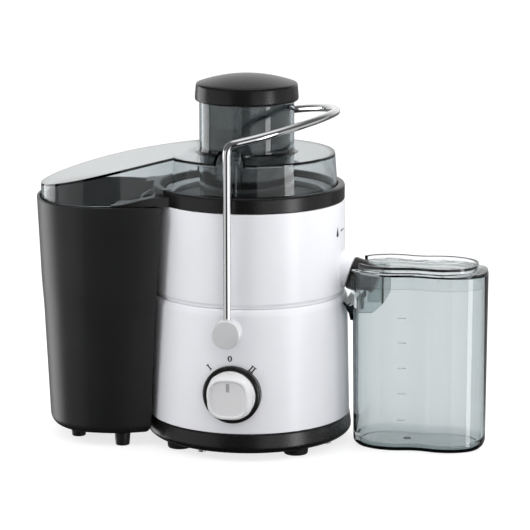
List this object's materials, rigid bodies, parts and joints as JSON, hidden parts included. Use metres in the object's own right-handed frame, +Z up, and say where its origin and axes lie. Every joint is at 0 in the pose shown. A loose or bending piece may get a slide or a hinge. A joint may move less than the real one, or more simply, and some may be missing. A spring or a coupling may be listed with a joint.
{
  "type": "centrifugal juicer",
  "caption": "Centrifugal juicer with a wide feed chute, smoked lid, side pulp bin, locking handle, speed dial and a spouted juice jug.",
  "frame": {"origin": "on the table, under the centre of the bounding box", "axes": "+Z up, -Y towards the user (dial side), +X towards the juice jug"},
  "size_m": [0.3508, 0.186, 0.283],
  "materials": {
    "white_plastic": "satin gloss moulded ABS",
    "black_plastic": "satin moulded",
    "charcoal_plastic": "fine matt texture",
    "smoked_clear_plastic": "polished smoked transparent",
    "silver_plastic": "satin light grey",
    "chrome": "polished",
    "steel": "brushed",
    "rubber": "matt",
    "copper": "varnished windings",
    "brass": "turned",
    "carbon": "matt graphite"
  },
  "bodies": {
    "housing": {"base_tray": "black_plastic", "foot_front_left": "rubber", "foot_front_right": "rubber", "foot_rear_right": "rubber", "foot_rear_left": "rubber", "base_screw_front_left": "steel", "base_screw_front_right": "steel", "base_screw_rear_right": "steel", "base_screw_rear_left": "steel", "motor_housing": "white_plastic", "cord_gland": "black_plastic", "stator": "steel", "motor_bracket_upper": "steel", "motor_bracket_lower": "steel", "bearing_upper": "steel", "bearing_lower": "steel", "motor_mount": "rubber", "shaft_seal": "rubber", "brush_holder_front": "black_plastic", "brush_holder_rear": "black_plastic", "carbon_brush_front": "carbon", "carbon_brush_rear": "carbon", "juice_collector": "white_plastic", "spout_seal": "rubber", "rim_ring": "black_plastic", "lid_seal": "rubber", "lid": "smoked_clear_plastic", "dial_ring": "black_plastic", "switch_body": "black_plastic", "pivot_bush_front": "white_plastic", "pivot_bush_rear": "white_plastic", "interlock_switch": "black_plastic"},
    "rotor": {"motor_shaft": "steel", "armature": "copper", "commutator": "brass", "cooling_fan": "black_plastic", "drive_coupling": "black_plastic", "basket_hub": "white_plastic", "grater_disc": "steel", "filter_mesh": "steel", "basket_rim": "steel"},
    "pusher": {"pusher_body": "smoked_clear_plastic", "pusher_cap": "black_plastic"},
    "dial_knob": {"knob": "silver_plastic", "switch_spindle": "steel"},
    "bail": {"bail_handle": "chrome", "pivot_button_front": "silver_plastic", "pivot_button_rear": "silver_plastic", "interlock_cam": "black_plastic"},
    "nozzle": {"spout_nozzle": "black_plastic"},
    "bin": {"pulp_bin": "charcoal_plastic", "bin_foot_front_left": "charcoal_plastic", "bin_foot_front_right": "charcoal_plastic", "bin_foot_rear_right": "charcoal_plastic", "bin_foot_rear_left": "charcoal_plastic"},
    "jug_body": {"jug": "smoked_clear_plastic"},
    "jug_cover": {"jug_lid": "smoked_clear_plastic", "froth_baffle": "smoked_clear_plastic"}
  },
  "joints": [
    {"name": "pusher_slide", "type": "slide", "parent": "housing", "child": "pusher", "axis": [0, 0, 1], "range_m": [0, 0.095]},
    {"name": "dial_turn", "type": "hinge", "parent": "housing", "child": "dial_knob", "pos_m": [-0.0081, -0.08, 0.0518], "axis": [0, 1, 0], "range_deg": [-45, 45]},
    {"name": "handle_swing", "type": "hinge", "parent": "housing", "child": "bail", "pos_m": [-0.0105, 0, 0.0997], "axis": [0, 1, 0], "range_deg": [0, 50]},
    {"name": "filter_spin", "type": "hinge", "parent": "housing", "child": "rotor", "pos_m": [-0.0105, 0, 0.1], "axis": [0, 0, 1], "continuous": true},
    {"name": "nozzle_turn", "type": "hinge", "parent": "housing", "child": "nozzle", "pos_m": [0.0687, 0, 0.1326], "axis": [0.9553, 0, -0.2957], "range_deg": [0, 180]},
    {"name": "bin_slide", "type": "slide", "parent": "housing", "child": "bin", "axis": [-1, 0, 0], "range_m": [0, 0.15]},
    {"name": "jug_slide", "type": "slide", "parent": "housing", "child": "jug_body", "axis": [1, 0, 0], "range_m": [0, 0.12]},
    {"name": "jug_lid_lift", "type": "slide", "parent": "jug_body", "child": "jug_cover", "axis": [0, 0, 1], "range_m": [0, 0.05]}
  ]
}
